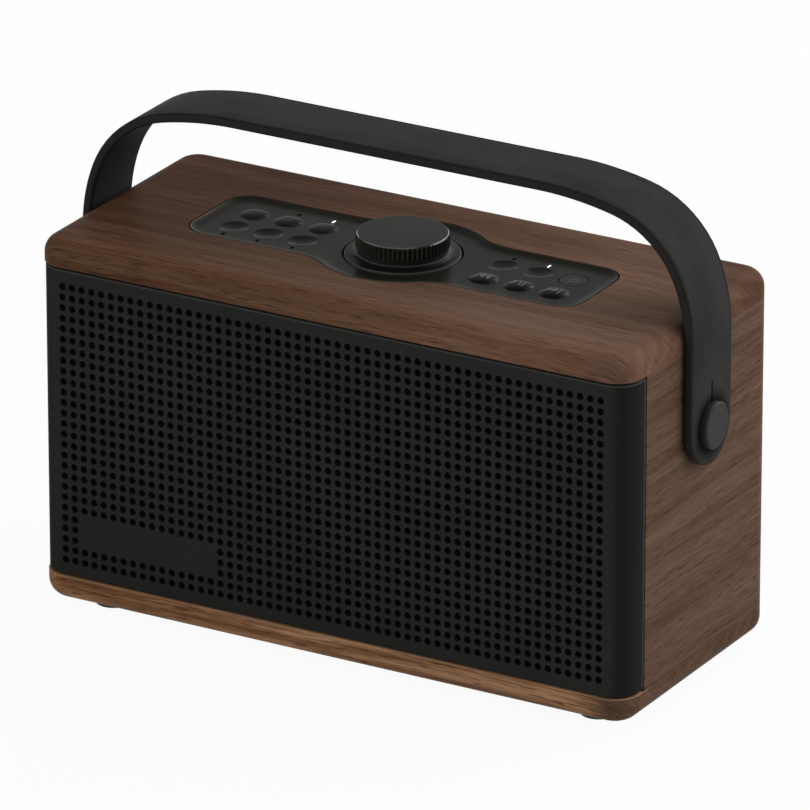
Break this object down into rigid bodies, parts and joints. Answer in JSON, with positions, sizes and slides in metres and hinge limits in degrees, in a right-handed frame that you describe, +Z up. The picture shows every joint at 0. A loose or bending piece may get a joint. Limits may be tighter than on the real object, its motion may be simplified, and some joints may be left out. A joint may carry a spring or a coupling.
{
  "type": "tabletop radio",
  "caption": "Portable tabletop radio: walnut cabinet, wrapped perforated front, dished top panel with volume knob and push buttons, strap handle, telescopic aerial.",
  "frame": {"origin": "on the table, under the middle of the whole radio with its aerial folded along the back", "axes": "+X to the right seen from the front, +Y to the back, +Z up"},
  "size_m": [0.2514, 0.1144, 0.1835],
  "materials": {
    "walnut": "open-pored walnut, oiled",
    "plain_wood": "raw fibreboard and softwood",
    "black_metal": "fine matt black powder coat",
    "cloth": "thin black acoustic cloth",
    "basket": "pressed steel, black",
    "cone": "coated paper cone with a rubber roll",
    "magnet": "ferrite",
    "panel": "fine-textured black moulding",
    "buttons": "satin black moulding",
    "knob": "satin black moulding",
    "dark_lights": "smoked light pipe",
    "lit_lights": "white light pipe, lit",
    "boards": "green circuit board",
    "switches": "black moulding",
    "strap": "smooth matt black strap",
    "studs": "matt black",
    "rubber": "matt black",
    "cover": "fine-textured black moulding",
    "battery": "blue shrink sleeve",
    "steel": "zinc plated",
    "aerial": "bright plated tube"
  },
  "bodies": {
    "cabinet": {"top_board": "walnut", "bottom_board": "walnut", "left_side_board": "walnut", "right_side_board": "walnut", "corner_battens": "plain_wood", "front_baffle": "plain_wood", "front_grille": "black_metal", "grille_cloth": "cloth", "left_driver_basket": "basket", "right_driver_basket": "basket", "left_driver_cone": "cone", "right_driver_cone": "cone", "left_driver_magnet": "magnet", "right_driver_magnet": "magnet", "control_panel": "panel", "panel_carrier": "panel", "dark_light_pipes": "dark_lights", "lit_light_pipes": "lit_lights", "button_board": "boards", "main_board": "boards", "button_switches": "switches", "encoder_body": "switches", "strap_studs": "studs", "rubber_feet": "rubber", "rear_cover": "cover", "aerial_mount": "cover", "aerial_rest": "cover", "aux_socket": "cover", "battery_pack": "battery", "foot_screws": "steel", "driver_screws": "steel", "panel_screws": "steel", "rear_cover_screws": "steel", "main_board_screws": "steel", "board_standoffs": "steel", "stud_nuts": "steel", "usb_socket": "steel", "battery_clamp": "steel"},
    "knob": {"knob_cap": "knob", "knob_skirt": "knob", "encoder_shaft": "steel"},
    "handle": {"handle_strap": "strap"},
    "button_left_front_inner": {"button_left_front_inner": "buttons"},
    "button_left_front_middle": {"button_left_front_middle": "buttons"},
    "button_left_front_outer": {"button_left_front_outer": "buttons"},
    "button_left_back_inner": {"button_left_back_inner": "buttons"},
    "button_left_back_middle": {"button_left_back_middle": "buttons"},
    "button_left_back_outer": {"button_left_back_outer": "buttons"},
    "button_right_front_inner": {"button_right_front_inner": "buttons"},
    "button_right_front_middle": {"button_right_front_middle": "buttons"},
    "button_right_front_outer": {"button_right_front_outer": "buttons"},
    "button_right_back_inner": {"button_right_back_inner": "buttons"},
    "button_right_back_middle": {"button_right_back_middle": "buttons"},
    "button_right_back_outer": {"button_right_back_outer": "buttons"},
    "turret": {"aerial_turret": "aerial", "aerial_nut": "steel"},
    "arm": {"aerial_elbow": "aerial", "aerial_outer_tube": "aerial"},
    "middle_section": {"aerial_middle_tube": "aerial"},
    "end_section": {"aerial_tip": "aerial"}
  },
  "joints": [
    {"name": "knob_turn", "type": "hinge", "parent": "cabinet", "child": "knob", "pos_m": [0, -0.0044, 0.1403], "axis": [0, 0, 1], "continuous": true},
    {"name": "handle_lean", "type": "hinge", "parent": "cabinet", "child": "handle", "pos_m": [0, -0.0044, 0.1006], "axis": [1, 0, 0], "range_deg": [-16, 16]},
    {"name": "press_left_front_inner", "type": "slide", "parent": "cabinet", "child": "button_left_front_inner", "axis": [0, 0, -1], "range_m": [0, 0.0005], "stiffness_N_per_m": 1500},
    {"name": "press_left_front_middle", "type": "slide", "parent": "cabinet", "child": "button_left_front_middle", "axis": [0, 0, -1], "range_m": [0, 0.0005], "stiffness_N_per_m": 1500},
    {"name": "press_left_front_outer", "type": "slide", "parent": "cabinet", "child": "button_left_front_outer", "axis": [0, 0, -1], "range_m": [0, 0.0005], "stiffness_N_per_m": 1500},
    {"name": "press_left_back_inner", "type": "slide", "parent": "cabinet", "child": "button_left_back_inner", "axis": [0, 0, -1], "range_m": [0, 0.0005], "stiffness_N_per_m": 1500},
    {"name": "press_left_back_middle", "type": "slide", "parent": "cabinet", "child": "button_left_back_middle", "axis": [0, 0, -1], "range_m": [0, 0.0005], "stiffness_N_per_m": 1500},
    {"name": "press_left_back_outer", "type": "slide", "parent": "cabinet", "child": "button_left_back_outer", "axis": [0, 0, -1], "range_m": [0, 0.0005], "stiffness_N_per_m": 1500},
    {"name": "press_right_front_inner", "type": "slide", "parent": "cabinet", "child": "button_right_front_inner", "axis": [0, 0, -1], "range_m": [0, 0.0005], "stiffness_N_per_m": 1500},
    {"name": "press_right_front_middle", "type": "slide", "parent": "cabinet", "child": "button_right_front_middle", "axis": [0, 0, -1], "range_m": [0, 0.0005], "stiffness_N_per_m": 1500},
    {"name": "press_right_front_outer", "type": "slide", "parent": "cabinet", "child": "button_right_front_outer", "axis": [0, 0, -1], "range_m": [0, 0.0005], "stiffness_N_per_m": 1500},
    {"name": "press_right_back_inner", "type": "slide", "parent": "cabinet", "child": "button_right_back_inner", "axis": [0, 0, -1], "range_m": [0, 0.0005], "stiffness_N_per_m": 1500},
    {"name": "press_right_back_middle", "type": "slide", "parent": "cabinet", "child": "button_right_back_middle", "axis": [0, 0, -1], "range_m": [0, 0.0005], "stiffness_N_per_m": 1500},
    {"name": "press_right_back_outer", "type": "slide", "parent": "cabinet", "child": "button_right_back_outer", "axis": [0, 0, -1], "range_m": [0, 0.0005], "stiffness_N_per_m": 1500},
    {"name": "aerial_swivel", "type": "hinge", "parent": "cabinet", "child": "turret", "pos_m": [0.0922, 0.0474, 0.118], "axis": [0, 1, 0], "range_deg": [0, 180]},
    {"name": "aerial_tilt", "type": "hinge", "parent": "turret", "child": "arm", "pos_m": [0.0922, 0.0538, 0.118], "axis": [0, 0, -1], "range_deg": [0, 90]},
    {"name": "aerial_pull_middle", "type": "slide", "parent": "arm", "child": "middle_section", "axis": [-1, 0, 0], "range_m": [0, 0.12]},
    {"name": "aerial_pull_end", "type": "slide", "parent": "middle_section", "child": "end_section", "axis": [-1, 0, 0], "range_m": [0, 0.12]}
  ]
}
